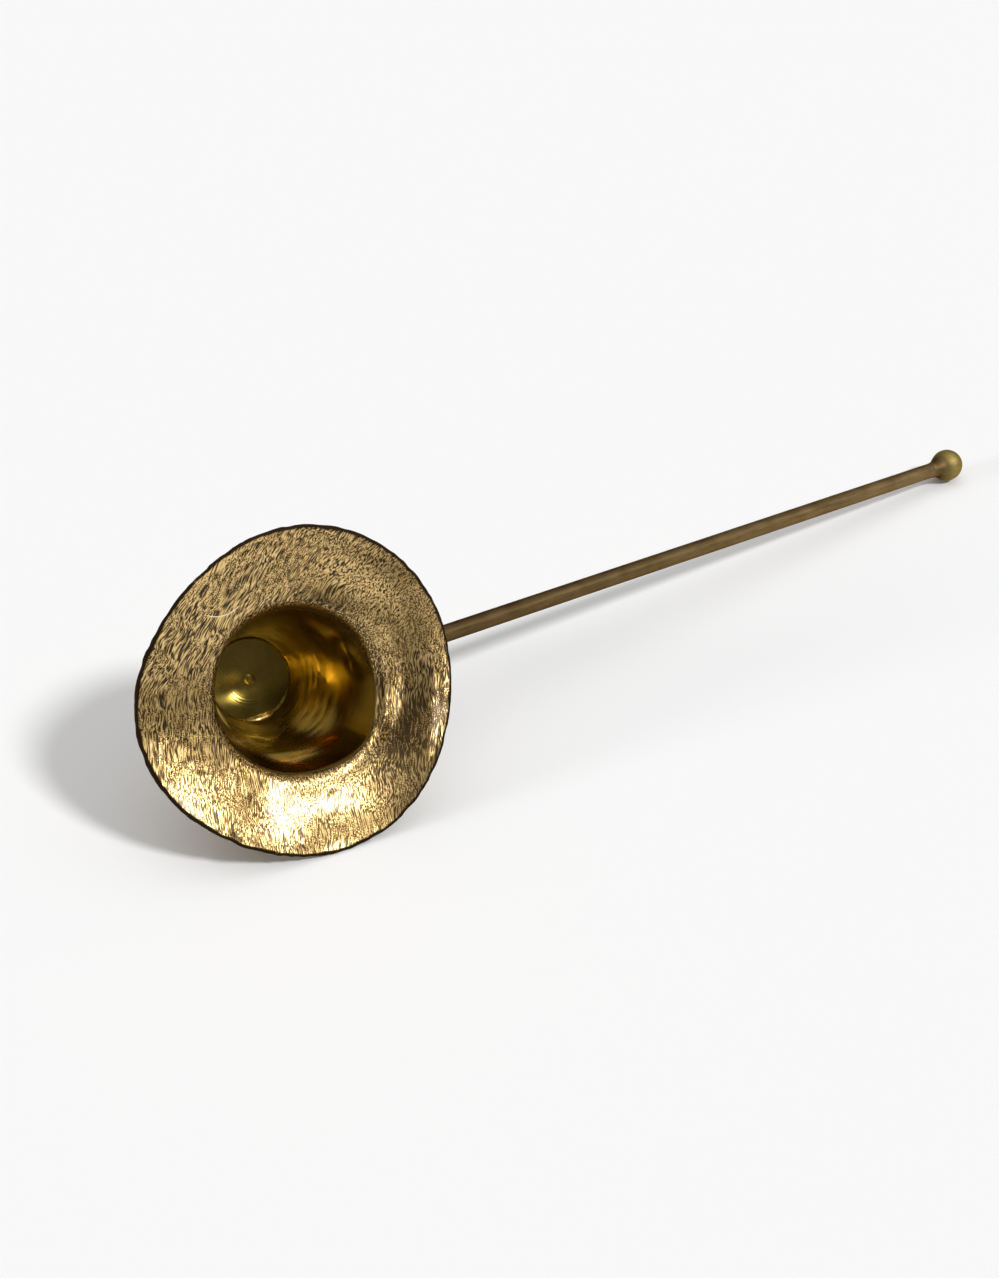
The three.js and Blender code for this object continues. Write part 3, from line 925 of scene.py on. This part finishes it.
def make_bell(material):
    skin = bell_skin()
    brush_start, brushed = brushing(skin)
    gouge = gouge_depth(skin)
    streaks = wander(skin.places / np.array(STREAK_SHAPE), STREAKS, seed=37)
    marks = {
        "brushed": brushed,
        "browned_and_shaded": browning_and_shade(skin, brush_start, gouge),
        "painted_light": painted_light_marks(skin),
        "soot": cup_soot(skin, streaks),
        "worn_and_lit": cup_worn_and_lit(skin),
        "painted_glow": cup_painted_glow(skin, streaks),
    }
    push = hand_work(skin, brushed, gouge)
    places = nicked(waved(skin.places) + push[:, None] * skin.normal, skin.radius)
    make_piece("bell", places, skin.faces, bell_frame, [material], marks)


# Crown

def make_crown_disc(material):
    top = CROWN_THICKNESS
    pip_foot = (PIP_RADIUS * 1.4, top)
    pip_shoulder = (PIP_RADIUS * 0.6, top + PIP_HEIGHT * 0.8)
    pip_middle = (0, top + PIP_HEIGHT * 0.5)
    profile = join(
        line((0, 0), (wall_radius(0) - CROWN_LIP, 0), 12),
        line((wall_radius(0), CROWN_LIP), (wall_radius(top), top - CROWN_LIP), 4),
        line((wall_radius(top) - CROWN_LIP, top), pip_foot, 40),
        bezier(pip_foot, (PIP_RADIUS * 0.9, top), pip_shoulder, 8),
        bezier(pip_shoulder, (PIP_RADIUS * 0.45, top + PIP_HEIGHT), pip_middle, 8),
    )
    places, faces = turn(profile, ROUND_COLUMNS)
    for across, up, width, depth in DISC_DENTS:
        far = np.hypot(places[:, 0] - across, places[:, 1] - up) / width
        places[:, 2] -= np.where(places[:, 2] > CROWN_LIP, depth * np.exp(-(far**2)), 0)
    make_piece("crown_disc", places, faces, bell_frame, [material])


def make_crown_bead(material):
    """An uneven fillet between disc and wall, thin all round and full at one side."""
    foot = CROWN_THICKNESS - BEAD_SINK
    corner = np.array([wall_radius(foot) + BEAD_ROOT, foot])
    on_disc = np.array([wall_radius(foot) - CROWN_BEAD, foot])
    on_wall = np.array([wall_radius(foot + CROWN_BEAD) + BEAD_EDGE, foot + CROWN_BEAD])
    hollow = 0.35 * on_disc + 0.35 * on_wall + 0.3 * corner
    fillet = bezier(on_wall, hollow, on_disc, 14)
    profile = join(fillet, line(on_disc, corner, 6), line(corner, on_wall, 4))
    places, faces = turn(profile, 2 * ROUND_COLUMNS)
    lumps = wander(places, BEAD_LUMPS, seed=41)
    radius = round_place(places)[1]
    face_share = smooth_step(wall_radius(foot) - radius, *BEAD_FACE)
    places[:, :2] *= (1 - face_share * lumps / radius)[:, None]
    places[:, 2] += BEAD_LUMP_RISE * face_share * lumps
    angle = round_place(places)[0]
    fullest = np.exp(-((turned_from(angle, BEAD_SIDE) / BEAD_SPREAD) ** 2))
    full = BEAD_LEAST + (1 - BEAD_LEAST) * fullest
    corner_height = np.full_like(angle, corner[1])
    inner = np.stack([corner[0] * np.cos(angle), corner[0] * np.sin(angle), corner_height], 1)
    places = inner + full[:, None] * (places - inner)
    soot = BEAD_SOOT - BEAD_SOOT * np.exp(-((turned_from(angle, CLEAN_SIDE) / CLEAN_SPREAD) ** 2))
    make_piece("crown_braze_bead", places, faces, bell_frame, [material], {"soot": soot})


# Handle

def ball_meets(radius):
    """How far along the rod's line the ball's near side has a given radius."""
    return HANDLE_REACH - math.sqrt(BALL_RADIUS**2 - radius**2)


def make_rod(satin, polished):
    """The shank, with its tenon dressed down inside the cup and its spigot in the ball."""
    head_radius = PEEN_RADIUS / 2
    head_base = wall_inside + PEEN_SINK
    head = arc((0, head_base), (head_radius, PEEN_HEIGHT), -90, 0, 14)
    head[0, 0] = 0
    end = ball_meets(ROD_RADIUS) + SPIGOT
    profile = join(
        head,
        line((head_radius, head_base), (TENON_RADIUS, head_base + PEEN_TAPER), 4),
        line((TENON_RADIUS, head_base + 2 * PEEN_TAPER), (TENON_RADIUS, wall_outside - TENON_SINK), 4),
        line((ROD_RADIUS, wall_outside - SHOULDER_SINK), (ROD_RADIUS, end), 160),
        line((TENON_RADIUS, end), (0, end), 4),
    )
    places, faces = turn(profile, ROUND_COLUMNS)
    paint = np.repeat(profile[:-1, 1] < wall_outside - POLISH_SINK, ROUND_COLUMNS).astype(np.int32)
    make_piece("handle_rod", places, faces, handle_frame, [satin, polished], None, paint)


def make_root_bead(material):
    """The lumpy fillet round the rod on the cup's outside."""
    outside = ROD_RADIUS + ROOT_BEAD
    base = wall_outside - ROOT_DEPTH
    inner = ROD_RADIUS - BRAZE_OVERLAP
    top = wall_outside + ROOT_BEAD
    foot_edge = (outside - ROOT_ROUND, base)
    foot_corner = (outside + ROOT_BULGE, base)
    on_wall = (outside, wall_outside - ROOT_ROUND)
    hollow = np.array([ROD_RADIUS, wall_outside]) + ROOT_HOLLOW
    profile = join(
        line((inner, base), foot_edge, 6),
        bezier(foot_edge, foot_corner, on_wall, 6),
        bezier(on_wall, hollow, (ROD_RADIUS + ROOT_EDGE, top), 16),
        line((inner, top), (inner, base), 4),
    )
    places, faces = turn(profile, ROUND_COLUMNS)
    radius = round_place(places)[1]
    lumps = smooth_step(radius, ROD_RADIUS, ROD_RADIUS + ROOT_CALM) * wander(places, ROOT_LUMPS, seed=53)
    places[:, :2] *= (1 + lumps / radius)[:, None]
    make_piece("handle_root_braze", places, faces, handle_frame, [material])


def make_ball(material):
    radius = BALL_RADIUS - SKIN_INSET
    seat = math.degrees(math.asin((ROD_RADIUS - SEAT_LAP) / radius))
    skin = arc((0, HANDLE_REACH), (radius, radius), seat - 90, 90, 64)
    skin[-1, 0] = 0
    seat_middle = (0, skin[0, 1] + SEAT_DEPTH)
    places, faces = turn(join(line(seat_middle, skin[0], 6), skin), ROUND_COLUMNS)
    make_piece("ball_finial", places, faces, handle_frame, [material])


def make_neck(material):
    """The smooth hollow fillet between rod and ball."""
    seat = ball_meets(ROD_RADIUS)
    on_ball = ball_meets(NECK_RADIUS)
    inner = ROD_RADIUS - BRAZE_OVERLAP
    start = np.array([ROD_RADIUS + NECK_EDGE, seat - NECK_LENGTH])
    hollow = np.array([ROD_RADIUS, seat]) + NECK_HOLLOW
    end = np.array([NECK_RADIUS - NECK_LIP, on_ball])
    sink_in, sink_along = NECK_SINK
    profile = join(
        bezier(start, hollow, end, 24),
        line(end, (NECK_RADIUS - sink_in, on_ball + sink_along), 4),
        line((inner, on_ball + sink_along), (inner, start[1]), 6),
        start[None],
    )
    places, faces = turn(profile, ROUND_COLUMNS)
    make_piece("finial_neck_braze", places, faces, handle_frame, [material])


# Stage

def make_camera():
    camera = bpy.data.objects.new("camera", bpy.data.cameras.new("camera"))
    camera.data.lens = CAMERA_LENS
    camera.location = CAMERA_PLACE
    camera.rotation_euler = (math.radians(90 - CAMERA_TILT), 0, math.radians(-CAMERA_HEADING))
    bpy.context.scene.collection.objects.link(camera)
    bpy.context.scene.camera = camera


def make_floor():
    half = FLOOR_SIZE / 2
    mesh = bpy.data.meshes.new("floor")
    corners = [(-half, -half, 0), (half, -half, 0), (half, half, 0), (-half, half, 0)]
    mesh.from_pydata(corners, [], [(0, 1, 2, 3)])
    material, tree, shader = start_material("white_table")
    look = {"Base Color": TABLE_WHITE, "Roughness": TABLE_ROUGHNESS, "Specular IOR Level": 0}
    connect(tree, shader, look)
    mesh.materials.append(material)
    floor = bpy.data.objects.new("floor", mesh)
    bpy.context.scene.collection.objects.link(floor)


def way_to(heading, height):
    """The way to a place in the sky: degrees from +X towards +Y, and up from the horizon."""
    heading, height = math.radians(heading), math.radians(height)
    level = math.cos(height)
    return Vector((level * math.cos(heading), level * math.sin(heading), math.sin(height)))


def make_sun(name, heading, height, strength, width):
    lamp = bpy.data.lights.new(name, "SUN")
    lamp.energy = strength
    lamp.angle = math.radians(width)
    sun = bpy.data.objects.new(name, lamp)
    sun.rotation_mode = "QUATERNION"
    sun.rotation_quaternion = way_to(heading, height).to_track_quat("Z", "Y")
    bpy.context.scene.collection.objects.link(sun)


def make_world():
    """A dim studio: pale behind the table, dark higher at the sides, and a soft ceiling."""
    world = bpy.data.worlds.new("studio")
    world.use_nodes = True
    tree = world.node_tree
    way = add(tree, "TexCoord", {}).outputs["Generated"]
    rise = split(tree, way)["Z"]
    sides = mix_colour(tree, fade(tree, rise, SIDE_FOOT, SIDE_RISE), SIDE_PALE, SIDE_DARK)
    light = mix_colour(tree, fade(tree, rise, CEILING_RISE, 1), sides, CEILING)
    tree.links.new(light, tree.nodes["Background"].inputs["Color"])
    bpy.context.scene.world = world


bpy.context.scene.view_settings.view_transform = "Standard"
make_camera()
make_floor()
make_sun("key", KEY_HEADING, KEY_HEIGHT, KEY_STRENGTH, KEY_WIDTH)
make_sun("fill", FILL_HEADING, FILL_HEIGHT, FILL_STRENGTH, FILL_WIDTH)
make_world()

satin = satin_brass()
polished = polished_brass()
flowed = braze()
make_bell(brushed_brass())
make_crown_disc(turned_brass())
make_crown_bead(flowed)
make_rod(satin, polished)
make_root_bead(flowed)
make_ball(satin)
make_neck(satin)
